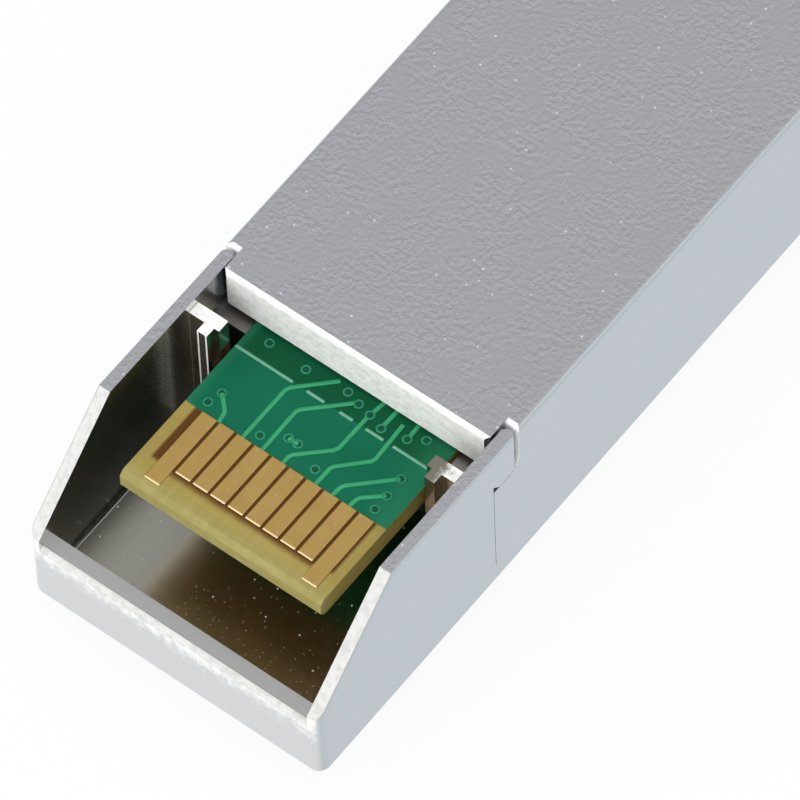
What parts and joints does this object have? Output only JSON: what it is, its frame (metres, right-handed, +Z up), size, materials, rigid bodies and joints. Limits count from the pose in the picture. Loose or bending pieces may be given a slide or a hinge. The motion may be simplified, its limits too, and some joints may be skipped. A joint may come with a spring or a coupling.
{
  "type": "sfp plus transceiver",
  "caption": "Pluggable fibre-optic transceiver: slim die-cast metal module with a gold card edge in an open rear skirt, fibre ports in the nose and a swinging bail that releases its latch",
  "frame": {"origin": "middle of the bounding box in x and y, lowest point of the nose at z = 0", "axes": "+Y from the card edge to the nose along the length, +X across, +Z up on the latch side; the module lies on its label side"},
  "size_m": [0.0146, 0.0586, 0.0101],
  "materials": {
    "nickel_plate": "satin nickel plate on die-cast zinc",
    "plain_steel": "plain steel",
    "spring_steel": "bright spring steel",
    "green_board": "glass-fibre board with green solder mask",
    "gold_plate": "gold plate on copper",
    "chip_black": "moulded black resin",
    "capacitor_tan": "ceramic",
    "soft_pad": "soft silicone",
    "white_ceramic": "polished zirconia",
    "amber_film": "polyimide film",
    "black_plastic": "fine-grained moulding"
  },
  "bodies": {
    "module": {"main_housing": "nickel_plate", "skirt_cover": "nickel_plate", "cover_screw": "plain_steel", "circuit_board": "green_board", "contacts_latch_side": "gold_plate", "contacts_label_side": "gold_plate", "driver_chip": "chip_black", "amplifier_chip": "chip_black", "controller_chip": "chip_black", "power_inductors": "chip_black", "chip_capacitors": "capacitor_tan", "chip_resistors": "chip_black", "thermal_pad": "soft_pad", "transmit_can": "plain_steel", "receive_can": "plain_steel", "transmit_sleeve": "white_ceramic", "receive_sleeve": "white_ceramic", "transmit_flex": "amber_film", "receive_flex": "amber_film", "fibre_receptacle": "black_plastic", "shield_plate": "spring_steel", "emi_collar": "spring_steel", "latch_pin": "plain_steel", "latch_spring": "spring_steel"},
    "bail": {"bail_frame": "plain_steel", "bail_grip": "black_plastic", "bail_shaft": "plain_steel", "release_cam": "plain_steel"},
    "latch": {"latch_rocker": "nickel_plate"}
  },
  "joints": [
    {"name": "bail_swing", "type": "hinge", "parent": "module", "child": "bail", "pos_m": [0, 0.0256, 0.00872], "axis": [1, 0, 0], "range_deg": [0, 90]},
    {"name": "latch_rock", "type": "hinge", "parent": "module", "child": "latch", "pos_m": [0, 0.0199, 0.00855], "axis": [1, 0, 0], "range_deg": [0, 7], "deforming": ["latch_spring"]}
  ],
  "couplings": [
    {"joint": "latch_rock", "follows": "bail_swing", "ratio": 0.07777}
  ]
}
